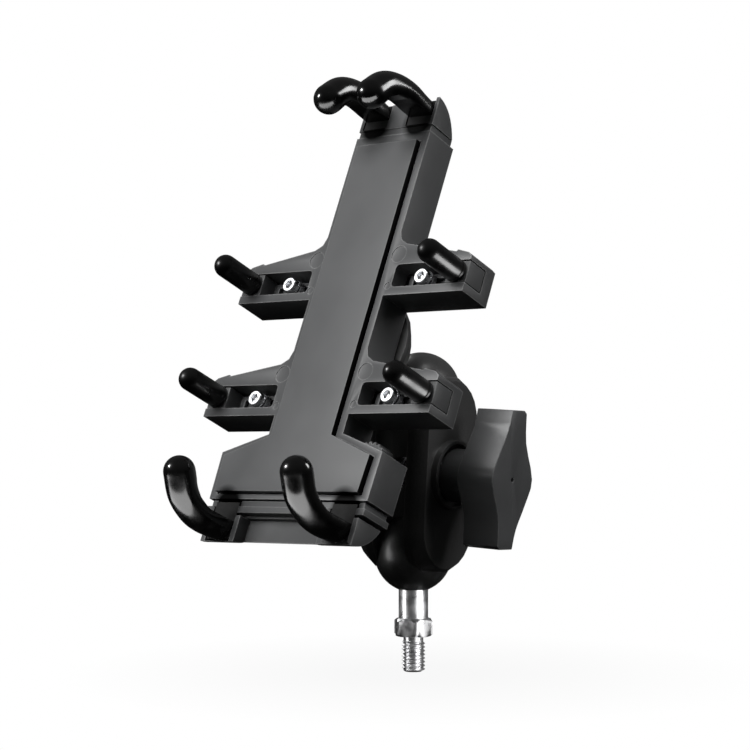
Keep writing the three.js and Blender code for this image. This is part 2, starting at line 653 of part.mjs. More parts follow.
const SLIDER = { blockIn: 40.7, tongueIn: 19.4, tongueHalf: 3.2, tongueFront: -6.8, slotHalf: 1.8 };
const PEG_TOP = 11;
const SIDE_SCREW = { head: 2.75, front: -1, seat: -3.6, end: -12, socket: 2.6, socketFloor: -2.4 };
const SIDE_WASHER = { bore: 1.8, radius: 3, back: -4.4, front: -3.9 };
const SIDE_SPRING = { radius: 2.35, wire: 0.3, back: -6.5, front: -4.7, turns: 1.5 };

function sideSlider(name, sign, middle) {
  const half = SLOT_HEIGHT / 2 - GAP;
  const { tongueHalf, tongueFront, slotHalf } = SLIDER;
  const across = (from, to) => [Math.min(sign * from, sign * to), Math.max(sign * from, sign * to)];
  const [blockA, blockB] = across(SLIDER.blockIn, ARM_END);
  const [tongueA, tongueB] = across(SLIDER.tongueIn, SLIDER.blockIn + GAP);
  const [slotA, slotB] = across(SCREW_X - TRAVEL_OUT - slotHalf, SCREW_X + TRAVEL_IN + slotHalf);
  return part(name, cut(join(
    block([blockA, middle - half, -SLOT_DEPTH + GAP], [blockB, middle + half, -GAP]),
    block([tongueA, middle - tongueHalf, -SLOT_DEPTH + GAP], [tongueB, middle + tongueHalf, tongueFront]),
    rod(FINGER_PEG_R, -CUT, PEG_TOP, COARSE, sign * FINGER_X, middle),
  ), block([slotA, middle - slotHalf, -SLOT_DEPTH], [slotB, middle + slotHalf, tongueFront + CUT])), FINISH.body);
}

function sideFinger(name, sign, middle) {
  const bore = FINGER_PEG_R + GAP;
  const dome = arc([0, FINGER_TOP - FINGER_R], FINGER_R, 0, 90, 4);
  return part(name, turned([
    [0, PEG_TOP + GAP], [bore, PEG_TOP + GAP], [bore, 0], [FINGER_R, 0], ...dome.slice(0, -1), [0, FINGER_TOP],
  ], COARSE).translate(sign * FINGER_X, middle, 0), FINISH.rubber);
}

function sideScrew(name, sign, middle) {
  const x = sign * SCREW_X;
  const { head, front, seat, end, socket, socketFloor } = SIDE_SCREW;
  return part(name, cut(
    join(rod(head, seat, front, 16, x, middle), rod(SCREW_R, end, seat + CUT / 2, 10, x, middle)),
    hexBar(socket, socketFloor, front + CUT).translate(x, middle, 0),
  ), FINISH.zinc);
}

function sideWasher(name, sign, middle) {
  const { bore, radius, back, front } = SIDE_WASHER;
  const ring = turned([[bore, back], [radius, back], [radius, front], [bore, front], [bore, back]], COARSE);
  return part(name, ring.translate(sign * SCREW_X, middle, 0), FINISH.zinc);
}

function sideSpring(name, sign, middle) {
  const { radius, wire, back, front, turns } = SIDE_SPRING;
  const spring = coil(radius, wire, back, front, turns);
  return part(name, spring.translate(sign * SCREW_X, middle, 0), FINISH.steel);
}

const sideArms = () => ARMS.flatMap(({ row, bottom }) => SIDES.flatMap(({ side, sign }) => {
  const middle = bottom + ARM_BAR + SLOT_HEIGHT / 2;
  const pieces = {
    slider: sideSlider, finger: sideFinger, screw: sideScrew, washer: sideWasher, spring: sideSpring,
  };
  return Object.entries(pieces).map(([piece, make]) => make(`${row}_${side}_${piece}`, sign, middle));
}));

// ---- Assembly -----------------------------------------------------------------------------

const turnedGroup = (axis, degrees, ...children) => {
  const group = new THREE.Group();
  group.rotation[axis] = THREE.MathUtils.degToRad(degrees);
  return group.add(...children);
};

function holder() {
  const pieces = new THREE.Group().add(
    upperBall(), ballBase(), ...baseScrews(), rearCover(), ...coverScrews(), frontFrame(), frontPad(),
    topClampHead(),
    ...SIDES.map(({ side, sign }) =>
      headClaw(`top_claw_${side}`, sign * TOP_CLAW_X, 1, TOP_CLAW_PATH, TOP_FLAT)),
    topReturnSpring(), bottomClampHead(),
    ...SIDES.map(({ side, sign }) =>
      headClaw(`bottom_claw_${side}`, sign * BOTTOM_CLAW_X, -1, BOTTOM_CLAW_PATH, BOTTOM_FLAT)),
    lockWheel(), lockWheelPin(), ...sideArms(),
  );
  pieces.position.set(0, -BALL_DOWN, BALL_BACK);
  return turnedGroup('z', HOLDER_YAW, turnedGroup('x', HOLDER_PITCH, turnedGroup('z', HOLDER_ROLL, pieces)));
}

function arm() {
  return new THREE.Group().add(
    fixedHalf(), movingHalf(), clampBolt(), armSpring(), knobWasher(), clampKnob(), knobInsert(),
  );
}

function assembly() {
  const { degToRad } = THREE.MathUtils;
  const lean = new THREE.Euler(degToRad(-LEAN_BACK), degToRad(LEAN_SIDE), 0);
  const lowerBall = new THREE.Vector3(0, 0, LOWER_BALL_Z);
  const cover = ball('lower_ball_cover', NECK_R);
  cover.position.copy(lowerBall);
  const clampArm = arm();
  clampArm.position.copy(lowerBall);
  clampArm.rotation.copy(lean);
  const head = holder();
  head.position.copy(new THREE.Vector3(0, 0, BALL_TO_BALL).applyEuler(lean).add(lowerBall));
  return new THREE.Group().add(ballStud(), cover, clampArm, head);
}

export default assembly();
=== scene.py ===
"""Looks of an eight-claw phone holder on a double-ball clamp arm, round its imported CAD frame."""

import json
import math

import bmesh
import bpy
import numpy as np
from mathutils import Matrix, Vector


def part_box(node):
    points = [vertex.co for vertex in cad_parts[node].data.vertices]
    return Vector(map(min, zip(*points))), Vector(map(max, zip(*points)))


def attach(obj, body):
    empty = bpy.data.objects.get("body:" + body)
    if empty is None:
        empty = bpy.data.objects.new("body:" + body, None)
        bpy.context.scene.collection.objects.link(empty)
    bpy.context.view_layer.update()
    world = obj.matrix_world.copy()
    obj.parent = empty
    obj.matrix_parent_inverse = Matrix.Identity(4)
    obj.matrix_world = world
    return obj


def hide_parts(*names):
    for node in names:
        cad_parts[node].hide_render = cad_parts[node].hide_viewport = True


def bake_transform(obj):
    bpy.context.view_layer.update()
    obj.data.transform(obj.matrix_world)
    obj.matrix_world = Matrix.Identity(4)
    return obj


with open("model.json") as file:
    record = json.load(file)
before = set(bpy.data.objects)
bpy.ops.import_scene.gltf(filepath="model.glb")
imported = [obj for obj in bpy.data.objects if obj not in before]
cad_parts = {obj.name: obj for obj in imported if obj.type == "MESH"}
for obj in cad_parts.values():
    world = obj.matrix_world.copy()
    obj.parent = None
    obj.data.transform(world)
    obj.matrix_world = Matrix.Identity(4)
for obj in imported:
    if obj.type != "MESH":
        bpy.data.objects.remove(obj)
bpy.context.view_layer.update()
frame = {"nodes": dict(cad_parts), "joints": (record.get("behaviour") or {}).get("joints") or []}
JOINTS = {joint["name"]: joint for joint in frame["joints"]}
MM = 0.001
ROWS = ("upper", "lower")
SIDES = ("left", "right")

# ---- Camera and studio sizes --------------------------------------------------------------

CAMERA_AZIMUTH = 37.0
CAMERA_ELEVATION = 0.31
CAMERA_DISTANCE = 0.812
CAMERA_LENS = 115.0
AIM_FROM_UPPER_BALL = Vector((-0.01256, -0.0093, 0.0055))
FLOOR_RADIUS = 4.0
FLOOR_BELOW_STUD = 0.0005

# ---- Sizes that the visual pieces share with the CAD ------------------------------------------

BALL_RADIUS = 13.2 * MM
BALL_BORE_TOP = 7.3 * MM
NECK_IN_BALL = 1.5 * MM
LOWER_NECK = 5 * MM
UPPER_NECK = 4.2 * MM
THREAD_RADIUS = 4 * MM
THREAD_TOP = 12 * MM
THREAD_PITCH = 1.25 * MM
THREAD_DEPTH = 0.65 * MM
HEX_AF = 12 * MM
HEX_TOP = 18 * MM
HEX_TURN = math.radians(15)


# ---- Places -------------------------------------------------------------------------------

def axis_of(joint):
    return Vector(JOINTS[joint]["axis"]).normalized()


def pivot_of(joint):
    return Vector(JOINTS[joint]["pos_m"])


def place(origin, along_x, along_z):
    """A frame of its own in the row frame, as a matrix."""
    z = along_z.normalized()
    y = z.cross(along_x).normalized()
    x = y.cross(z)
    return Matrix.Translation(origin) @ Matrix((x, y, z)).transposed().to_4x4()


LOWER_BALL = pivot_of("arm_tilt")
UPPER_BALL = pivot_of("holder_tilt")
STUD = Matrix.Identity(4)
# The holder's frame: X across, Y up the column, Z out of the front, from the upper ball's centre.
HOLDER = place(UPPER_BALL, axis_of("upper_right_slide"), axis_of("holder_spin"))
# The clamp bolt's frame: Z along the bolt towards the knob, X from ball to ball.
BOLT = place(pivot_of("knob_turn"), UPPER_BALL - LOWER_BALL, axis_of("knob_turn"))


def extent(node, where):
    """Lowest and highest corners of a CAD node in a frame of its own."""
    back = where.inverted()
    points = np.array([back @ vertex.co for vertex in frame["nodes"][node].data.vertices])
    return Vector(points.min(0)), Vector(points.max(0))


def middle(node, where):
    low, high = extent(node, where)
    return (low + high) / 2


# ---- Meshes -------------------------------------------------------------------------------

def finish_mesh(name, bm, where, sharp=35.0):
    """Turns a bmesh drawn in its own frame into a shaded object placed in the row frame."""
    bmesh.ops.remove_doubles(bm, verts=bm.verts, dist=1e-7)
    bmesh.ops.dissolve_degenerate(bm, edges=bm.edges, dist=1e-8)
    bmesh.ops.recalc_face_normals(bm, faces=bm.faces)
    mesh = bpy.data.meshes.new(name)
    bm.to_mesh(mesh)
    bm.free()
    mesh.transform(where)
    mesh.polygons.foreach_set("use_smooth", [True] * len(mesh.polygons))
    mesh.set_sharp_from_angle(angle=math.radians(sharp))
    piece = bpy.data.objects.new(name, mesh)
    bpy.context.scene.collection.objects.link(piece)
    return piece


def skin(rings, capped=True, ring_closed=False):
    """A surface through loops of points: each loop joins the next, and the ends are closed."""
    bm = bmesh.new()
    loops = [[bm.verts.new(point) for point in ring] for ring in rings]
    pairs = list(zip(loops, loops[1:])) + ([(loops[-1], loops[0])] if ring_closed else [])
    for below, above in pairs:
        for i in range(len(below)):
            j = (i + 1) % len(below)
            bm.faces.new((below[i], below[j], above[j], above[i]))
    if capped and not ring_closed:
        bm.faces.new(loops[0][::-1])
        bm.faces.new(loops[-1])
    return bm


def ring(radius, height, sides):
    """A circle of points round Z. The radius may be a function of the angle."""
    points = []
    for i in range(sides):
        angle = 2 * math.pi * i / sides
        reach = radius(angle) if callable(radius) else radius
        points.append((reach * math.cos(angle), reach * math.sin(angle), height))
    return points


def turned(name, profile, where, sides=96, sharp=35.0):
    """A body turned about Z from (radius, height) pairs that start and end near the axis."""
    return finish_mesh(name, skin([ring(r, z, sides) for r, z in profile]), where, sharp)


def tube_ring(name, profile, where, sides=64, sharp=35.0):
    """A ring-shaped body turned about Z from a closed loop of (radius, height) pairs."""
    return finish_mesh(name, skin([ring(r, z, sides) for r, z in profile], ring_closed=True), where, sharp)


def arc(centre, radius, start, end, steps):
    """(first, second) pairs on an arc, with angles in degrees."""
    angles = [math.radians(start + (end - start) * i / steps) for i in range(steps + 1)]
    return [(centre[0] + radius * math.cos(a), centre[1] + radius * math.sin(a)) for a in angles]


def smooth_path(points, steps):
    """Catmull-Rom points through the given ones."""
    points = [Vector(p) for p in points]
    padded = [2 * points[0] - points[1]] + points + [2 * points[-1] - points[-2]]
    path = []
    for i in range(len(points) - 1):
        p0, p1, p2, p3 = padded[i:i + 4]
        for k in range(steps):
            t = k / steps
            path.append(0.5 * (2 * p1 + (p2 - p0) * t + (2 * p0 - 5 * p1 + 4 * p2 - p3) * t * t
                               + (3 * p1 - p0 - 3 * p2 + p3) * t ** 3))
    return path + [points[-1]]


def sweep(path, radius, sides, up):
    """Rings of a round bar along a path, kept square to it."""
    rings = []
    for i, point in enumerate(path):
        ahead = (path[min(i + 1, len(path) - 1)] - path[max(i - 1, 0)]).normalized()
        across = up.cross(ahead).normalized()
        other = ahead.cross(across)
        loop = []
        for k in range(sides):
            angle = 2 * math.pi * k / sides
            loop.append(point + radius * (across * math.cos(angle) + other * math.sin(angle)))
        rings.append(loop)
    return rings


def bar_with_dome(path, radius, sides, up):
    """A round bar along a path, with a half ball on its last point."""
    rings = sweep(path, radius, sides, up)
    ahead = (path[-1] - path[-2]).normalized()
    centre, last = path[-1], rings[-1]
    for angle in np.linspace(0, math.pi / 2, 12)[1:]:
        out = max(math.cos(angle), 1e-4)
        rings.append([centre + (p - centre) * out + ahead * radius * math.sin(angle) for p in last])
    return rings


def coil_rings(radius, wire, bottom, top, turns, sides=12, steps=36, flat_ends=0.75):
    """Rings of a coil spring along Z, whose end turns lie flat."""
    count = int(turns * steps)
    path = []
    for i in range(count + 1):
        turn = turns * i / count
        climb = min(max((turn - flat_ends) / (turns - 2 * flat_ends), 0), 1)
        height = bottom + wire + (top - bottom - 2 * wire) * climb
        angle = 2 * math.pi * turn
        path.append(Vector((radius * math.cos(angle), radius * math.sin(angle), height)))
    return sweep(path, wire, sides, Vector((0, 0, 1)))


# ---- Materials ----------------------------------------------------------------------------

class Paint:
    """A node material built step by step. Textures use object coordinates, so sizes are in metres."""

    def __init__(self, name):
        self.material = bpy.data.materials.new(name)
        self.material.use_nodes = True
        self.tree = self.material.node_tree
        self.tree.nodes.clear()
        self.shader = self.node("ShaderNodeBsdfPrincipled")
        output = self.node("ShaderNodeOutputMaterial")
        self.link(self.shader.outputs[0], output.inputs["Surface"])
        self.place = self.node("ShaderNodeTexCoord").outputs["Object"]

    def node(self, kind, **inputs):
        made = self.tree.nodes.new(kind)
        for key, value in inputs.items():
            made.inputs[key.replace("_", " ")].default_value = value
        return made

    def link(self, source, target):
        self.tree.links.new(source, target)

    def set(self, **inputs):
        for key, value in inputs.items():
            self.shader.inputs[key.replace("_", " ")].default_value = value
        return self

    def noise(self, size, detail=3.0, roughness=0.5):
        """Cloudy noise whose blobs are about the given size."""
        made = self.node("ShaderNodeTexNoise", Scale=1 / size, Detail=detail, Roughness=roughness)
        self.link(self.place, made.inputs["Vector"])
        return made.outputs["Fac"]

    def between(self, source, low, high, start=0.0, end=1.0):
        """Maps a value from start..end to low..high."""
        made = self.tree.nodes.new("ShaderNodeMapRange")
        for key, value in (("From Min", start), ("From Max", end), ("To Min", low), ("To Max", high)):
            made.inputs[key].default_value = value
        self.link(source, made.inputs["Value"])
        return made.outputs["Result"]

    def colour(self, source):
        self.link(source, self.shader.inputs["Base Color"])

    def roughness(self, source, low, high, start=0.0, end=1.0):
        self.link(self.between(source, low, high, start, end), self.shader.inputs["Roughness"])

    def maths(self, operation, first, second):
        made = self.tree.nodes.new("ShaderNodeMath")
        made.operation = operation
        self.link(first, made.inputs[0])
        self.link(second, made.inputs[1])
        return made.outputs[0]

    def vector_maths(self, operation, source, fixed):
        """A number from a vector and a fixed vector, such as their dot product or distance."""
        made = self.tree.nodes.new("ShaderNodeVectorMath")
        made.operation = operation
        made.inputs[1].default_value = fixed
        self.link(source, made.inputs[0])
        return made.outputs["Value"]

    def mix(self, amount, first, second):
        """Mixes two colours by a value."""
        made = self.tree.nodes.new("ShaderNodeMix")
        made.data_type = "RGBA"
        self.link(amount, made.inputs[0])
        for value, target in ((first, made.inputs[6]), (second, made.inputs[7])):
            if isinstance(value, tuple):
                target.default_value = (*value, 1)
            else:
                self.link(value, target)
        return made.outputs[2]

    def sharp_edge_mask(self, reach):
        """Near 1 along sharp edges and 0 on flat ground."""
        bevel = self.tree.nodes.new("ShaderNodeBevel")
        bevel.samples = 6
        bevel.inputs["Radius"].default_value = reach
        ground = self.node("ShaderNodeNewGeometry").outputs["Normal"]
        dot = self.tree.nodes.new("ShaderNodeVectorMath")
        dot.operation = "DOT_PRODUCT"
        self.link(bevel.outputs[0], dot.inputs[0])
        self.link(ground, dot.inputs[1])
        return self.between(dot.outputs["Value"], 1.0, 0.0, 0.9, 0.995)

    def shade_near(self, colour, shadow_spots, inner, outer, painted_shade_side=None):
        """Paints shade into a colour: a painted soft shadow close to some places, such as a claw's foot, and
        painted shade on the faces that look along one direction.
        """
        nearest = None
        for spot in shadow_spots:
            gap = self.vector_maths("DISTANCE", self.place, spot)
            nearest = gap if nearest is None else self.maths("MINIMUM", nearest, gap)
        painted_shade = self.between(nearest, 1.0, 0.0, inner, outer)
        if painted_shade_side is not None:
            normal = self.node("ShaderNodeTexCoord").outputs["Normal"]
            facing = self.vector_maths("DOT_PRODUCT", normal, painted_shade_side)
            painted_shade = self.maths("MAXIMUM", painted_shade, self.between(facing, 0.0, 1.0, 0.6, 0.85))
        # The painted shade also dims the specular sheen there.
        self.link(self.between(painted_shade, 0.5, 0.03), self.shader.inputs["Specular IOR Level"])
        return self.mix(painted_shade, colour, grey(0.002))

    def bump(self, *heights):
        """Stacks height maps, each a (value, depth in metres) pair, on the surface normal."""
        below = None
        for value, depth in heights:
            made = self.node("ShaderNodeBump", Strength=1.0, Distance=depth)
            self.link(value, made.inputs["Height"])
            if below is not None:
                self.link(below, made.inputs["Normal"])
            below = made.outputs["Normal"]
        self.link(below, self.shader.inputs["Normal"])
        return self


def grey(value, tint=0.0):
    """A grey, a little bluer for a positive tint."""
    return (value * (1 - tint), value, value * (1 + tint))


def moulded_plastic(name, value, roughness, grain, depth, rub_and_highlight=0.8, shadow_spots=(), painted_shade_side=None):
    """Black plastic from a spark-eroded mould: fine grain, faint flow marks and rubbed edges lightened
    further as a painted highlight, with optional painted shade.
    """
    paint = Paint(name)
    clouds = paint.noise(0.018, detail=4)
    tint = paint.between(clouds, 0, 1, 0.3, 0.7)
    colour = paint.mix(tint, grey(value * 0.92, 0.02), grey(value * 1.08, 0.02))
    speckle = paint.between(paint.noise(0.0012, detail=5), 0.4, 1.0, 0.35, 0.7)
    # Lighter edges: partly rubbed wear, partly a painted edge highlight.
    rubbed_and_highlit = paint.maths("MULTIPLY", paint.sharp_edge_mask(0.0006), speckle)
    colour = paint.mix(paint.between(rubbed_and_highlit, 0.0, rub_and_highlight), colour, grey(value * 4.5))
    # Optional painted shadow round the given spots, and painted shade on the faces that look one way.
    if shadow_spots:
        colour = paint.shade_near(colour, shadow_spots, 0.0047, 0.0072, painted_shade_side)
    paint.colour(colour)
    paint.roughness(clouds, roughness - 0.05, roughness + 0.05, 0.3, 0.7)
    paint.bump((clouds, 0.00006), (paint.noise(grain, detail=2), depth))
    return paint.material


def powder_coat(name, value, roughness):
    """Satin black powder coat on cast metal, with a light orange peel."""
    paint = Paint(name)
    peel = paint.noise(0.0011, detail=1)
    clouds = paint.noise(0.012, detail=3)
    colour = paint.mix(paint.between(clouds, 0, 1, 0.3, 0.7), grey(value * 0.9), grey(value * 1.1))
    edges = paint.between(paint.sharp_edge_mask(0.0008), 0.0, 0.5)
    paint.colour(paint.mix(edges, colour, grey(value * 2.6)))
    paint.roughness(peel, roughness - 0.04, roughness + 0.06)
    paint.set(Coat_Weight=0.25, Coat_Roughness=0.25)
    paint.bump((peel, 0.00003), (paint.noise(0.00025, detail=1), 0.000006))
    return paint.material


def glossy_rubber(name, value, roughness, coat):
    """Smooth moulded silicone: deep black, a soft sheen and traces of handling."""
    paint = Paint(name)
    smudge = paint.noise(0.006, detail=5, roughness=0.6)
    dust = paint.between(paint.noise(0.0007, detail=3), 0.0, 1.0, 0.62, 0.75)
    paint.colour(paint.mix(paint.between(dust, 0.0, 0.35), grey(value), grey(value * 3.5)))
    paint.roughness(smudge, roughness - 0.04, roughness + 0.1, 0.35, 0.7)
    paint.set(Coat_Weight=coat, Coat_Roughness=0.06, Specular_IOR_Level=0.55)
    paint.bump((paint.noise(0.003, detail=2), 0.000005), (paint.noise(0.0003, detail=2), 0.0000025))
    return paint.material


def bright_metal(name, colour, roughness, marks, direction=None):
    """Bare or plated steel with turning marks along one direction of the row frame, or none."""
    paint = Paint(name)
    haze = paint.noise(0.004, detail=4)
    tint = paint.between(haze, 0, 1, 0.3, 0.7)
    paint.colour(paint.mix(tint, tuple(0.9 * c for c in colour), colour))
    paint.roughness(haze, roughness * 0.7, roughness * 1.5, 0.3, 0.7)
    paint.set(Metallic=1.0)
    scratches = paint.noise(0.0009, detail=6, roughness=0.7)
    if direction is None:
        return paint.bump((scratches, marks)).material
    along = paint.vector_maths("DOT_PRODUCT", paint.place, direction)
    lathe = paint.node("ShaderNodeTexNoise", Scale=9000.0, Detail=3.0)
    lathe.noise_dimensions = "1D"
    paint.link(along, lathe.inputs["W"])
    return paint.bump((scratches, marks), (lathe.outputs["Fac"], marks)).material


FRONT_Z = (extent("front_frame", HOLDER)[1]).z
# Centres of the painted soft shadows at the claws' feet.
CLAW_FEET = [HOLDER @ Vector((x * MM, y * MM, FRONT_Z))
             for x, y in ((9.5, 77.5), (-9.5, 77.5), (25.5, -61.5), (-25.5, -61.5))]
# Body and pad carry the painted shadows at the claw feet; the pad's faces that look right are painted near
# black, a painted shade on its side wall.
BODY = moulded_plastic("body_plastic", 0.075, 0.42, 0.00022, 0.000012, shadow_spots=CLAW_FEET)
PAD = moulded_plastic("pad_plastic", 0.085, 0.5, 0.0003, 0.00001, shadow_spots=CLAW_FEET,
                      painted_shade_side=axis_of("upper_right_slide"))
KNOB = moulded_plastic("knob_plastic", 0.09, 0.36, 0.00035, 0.000014)
CAST = powder_coat("cast_aluminium", 0.05, 0.36)
RUBBER = glossy_rubber("claw_rubber", 0.003, 0.17, 0.0)
FINGER_RUBBER = glossy_rubber("finger_rubber", 0.006, 0.3, 0.0)
FOOT_RUBBER = glossy_rubber("claw_foot_rubber", 0.002, 0.8, 0.0)
BALL = glossy_rubber("ball_rubber", 0.05, 0.34, 0.1)
STEEL = bright_metal("polished_steel", (0.78, 0.78, 0.79), 0.32, 0.0000004, (0, 0, 1))
ZINC = bright_metal("zinc_steel", (0.86, 0.87, 0.89), 0.2, 0.000002)
SPRING = bright_metal("spring_steel", (0.6, 0.6, 0.62), 0.28, 0.000003)
BRASS = bright_metal("brass", (0.75, 0.58, 0.3), 0.3, 0.000003)


# Pieces that mirror the studio's cards.
GLOSSY = []
FINGERS = []
METAL = []
SCREWS = []


def paint(piece, material, slot=None):
    """Gives a piece its material. Its slot argument is not used."""
    piece.data.materials.clear()
    piece.data.materials.append(material)
    return piece


# ---- CAD pieces that keep their own shape ---------------------------------------------------

def dress(node, material, round_mm=0.35, segments=3):
    """Softens a CAD node's edges with modifiers and gives it its material."""
    piece = frame["nodes"][node]
    weld = piece.modifiers.new("weld", "WELD")
    weld.merge_threshold = 2e-6
    flat = piece.modifiers.new("flat faces", "DECIMATE")
    flat.decimate_type = "DISSOLVE"
    flat.angle_limit = math.radians(1.0)
    if round_mm:
        bevel = piece.modifiers.new("rounded edges", "BEVEL")
        bevel.width = round_mm * MM
        bevel.segments = segments
        bevel.limit_method = "ANGLE"
        bevel.angle_limit = math.radians(28)
        bevel.harden_normals = False
        bevel.use_clamp_overlap = True
    shade = piece.modifiers.new("shading", "NODES")
    shade.node_group = smooth_by_angle()
    piece.data.materials.clear()
    piece.data.materials.append(material)
    return piece


def smooth_by_angle():
    """A node group that shades faces smooth and keeps edges over 30 degrees sharp."""
    if "shade by angle" in bpy.data.node_groups:
        return bpy.data.node_groups["shade by angle"]
    group = bpy.data.node_groups.new("shade by angle", "GeometryNodeTree")
    group.interface.new_socket("Geometry", in_out="INPUT", socket_type="NodeSocketGeometry")
    group.interface.new_socket("Geometry", in_out="OUTPUT", socket_type="NodeSocketGeometry")
    start = group.nodes.new("NodeGroupInput")
    end = group.nodes.new("NodeGroupOutput")
    angle = group.nodes.new("GeometryNodeInputMeshEdgeAngle")
    compare = group.nodes.new("FunctionNodeCompare")
    compare.operation = "LESS_EQUAL"
    compare.inputs[1].default_value = math.radians(30)
    edges = group.nodes.new("GeometryNodeSetShadeSmooth")
    edges.domain = "EDGE"
    faces = group.nodes.new("GeometryNodeSetShadeSmooth")
    group.links.new(angle.outputs["Unsigned Angle"], compare.inputs[0])
    group.links.new(start.outputs[0], faces.inputs[0])
    group.links.new(faces.outputs[0], edges.inputs[0])
    group.links.new(compare.outputs[0], edges.inputs["Shade Smooth"])
    group.links.new(edges.outputs[0], end.inputs[0])
    return group


def dress_frame_pieces():
    for node in ("front_frame", "top_clamp_head", "bottom_clamp_head", "rear_cover"):
        dress(node, BODY)
    for row in ROWS:
        for side in SIDES:
            dress(f"{row}_{side}_slider", BODY, 0.25)
    dress("front_pad", PAD, 0.22)
    dress("clamp_knob", KNOB, 0.3)
    for node in ("arm_half_fixed", "arm_half_moving"):
        dress(node, CAST, 0.7)
    dress("ball_base", CAST, 0.5)
    dress("clamp_bolt", ZINC, 0.2)
    dress("knob_washer", ZINC, 0.15)
    dress("knob_insert", BRASS, 0.15)
    dress("lock_wheel_pin", SPRING, 0.15)
    for group in ("base_screw", "cover_screw"):
        for number in range(1, 5):
            dress(f"{group}_{number}", ZINC, 0.12)


# ---- Stud and balls -------------------------------------------------------------------------

def thread_radius(angle, height, outer, start, end):
    """Radius of a V thread at a place, fading out to the core at both ends."""
    phase = (height / THREAD_PITCH - angle / (2 * math.pi)) % 1.0
    depth = THREAD_DEPTH * min(1.0, abs(phase - 0.5) * 2 * 1.25)
    run_in = max(0.0, (height - start) / (0.8 * THREAD_PITCH))
    run_out = max(0.0, (end - height) / THREAD_PITCH)
    fade = min(1.0, run_in, run_out)
    return outer - THREAD_DEPTH * (1 - fade) - depth * fade


def stud():
    """Threaded end, hexagon with turned corners, neck and the shank inside the ball."""
    low, high = extent("ball_stud", STUD)
    chamfer = 0.6 * MM
    ball_entry = LOWER_BALL.z - BALL_RADIUS + NECK_IN_BALL
    sides = 96
    rings = [ring(THREAD_RADIUS - 1.4 * MM, low.z, sides)]
    for height in np.arange(0, THREAD_TOP - chamfer, THREAD_PITCH / 12):
        def cut(angle, h=height):
            thread = thread_radius(angle, h, THREAD_RADIUS, -0.2 * MM, THREAD_TOP - 2 * chamfer)
            return thread - max(0, chamfer - h)
        rings.append(ring(cut, low.z + height, sides))

    def hexagon(limit):
        def radius(angle):
            flat = HEX_AF / 2 / math.cos((angle - HEX_TURN) % (math.pi / 3) - math.pi / 6)
            return min(flat, limit)
        return radius

    corner = HEX_AF / math.sqrt(3)
    face = 0.94 * HEX_AF / 2
    rings.append(ring(THREAD_RADIUS - THREAD_DEPTH, THREAD_TOP, sides))
    for limit, height in ((face, 0), (HEX_AF / 2, 0.15), (corner, 0.75),
                          (corner, 5.25), (HEX_AF / 2, 5.85), (face, 6)):
        rings.append(ring(hexagon(limit), THREAD_TOP + height * MM, sides))
    shank = LOWER_NECK - MM
    for radius, height in ((LOWER_NECK + 0.25 * MM, HEX_TOP), (LOWER_NECK, HEX_TOP + 0.3 * MM),
                           (LOWER_NECK, ball_entry), (shank, ball_entry), (shank, high.z),
                           (0.2 * MM, high.z)):
        rings.append(ring(radius, height, sides))
    piece = finish_mesh("stud", skin(rings), STUD, 40)
    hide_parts("ball_stud")
    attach(paint(piece, STEEL), "stud")
    METAL.append(piece)


def ball(node, body, centre, towards_neck, neck):
    """A moulded ball with a fine parting line and a rounded mouth round its neck."""
    where = place(centre, Vector((1, 0, 0)), -towards_neck)
    mouth = neck + 0.3 * MM
    seat = NECK_IN_BALL + 0.3 * MM - BALL_RADIUS
    start = -math.degrees(math.acos(mouth / BALL_RADIUS))
    outside = arc((0, 0), BALL_RADIUS, start, 90, 72)
    line_depth, line_half = 0.06 * MM, 0.12 * MM
    groove = [(r - (line_depth if abs(z) < line_half else 0), z) for r, z in outside]
    bore = mouth - MM
    inner = [(0.1 * MM, BALL_BORE_TOP), (bore, BALL_BORE_TOP), (bore, seat), (mouth, seat)]
    piece = turned(f"{node}_skin", inner + groove, where, 128)
    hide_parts(node)
    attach(paint(piece, BALL), body)
    METAL.append(piece)


# ---- Rubber claws and fingers ----------------------------------------------------------------

CLAW_RADIUS = 5.2 * MM
TOP_CLAW = ((6.4, -25.0), (6.8, -21.0), (7.6, -15.0), (6.9, -9.0), (4.6, -3.8), (0, 0))
BOTTOM_CLAW = ((8.2, -25.0), (8.8, -21.0), (9.3, -15.0), (8.5, -10.0), (5.6, -4.4), (0, 0))
# The side of a claw that faces the phone is flat from its root on, then falls away to the tip.
TOP_FLAT = ((-26, 5.2), (-13, 4.9), (-8, 3.4), (-5, 0.6), (-2, -8), (6, -12))
BOTTOM_FLAT = ((-26, 7.0), (-13, 7.2), (-8, 5.2), (-5, 1.8), (-2, -8), (6, -12))
# The foot that fills the head's pocket under a claw: nearest and farthest from the tip, and its two depths.
TOP_FOOT = (1.9, 10.6)
BOTTOM_FOOT = (0.5, 13.2)
FOOT_HALF = 5.1
FOOT_DEPTHS = (-25.7, -24.4)
SPIGOT_RADIUS = 1.9 * MM
SPIGOT_LENGTH = 2.6 * MM


def flatten(point, tip, away, flat):
    """Lifts a point of a claw's skin to the claw's flat side, with a small rounded edge."""
    heights = [row[0] for row in flat]
    offset = float(np.interp((point.z - tip.z) / MM, heights, [row[1] for row in flat]))
    rounding = 0.6 * MM
    depth = away * (point.y - tip.y) - offset * MM
    if depth >= rounding:
        return point
    lifted = offset * MM + rounding * math.exp((depth - rounding) / rounding)
    return Vector((point.x, tip.y + away * lifted, point.z))


def block(low, high):
    """A closed block between two corners."""
    return skin([[(low[0], low[1], z), (high[0], low[1], z), (high[0], high[1], z), (low[0], high[1], z)]
                 for z in (low[2], high[2])])


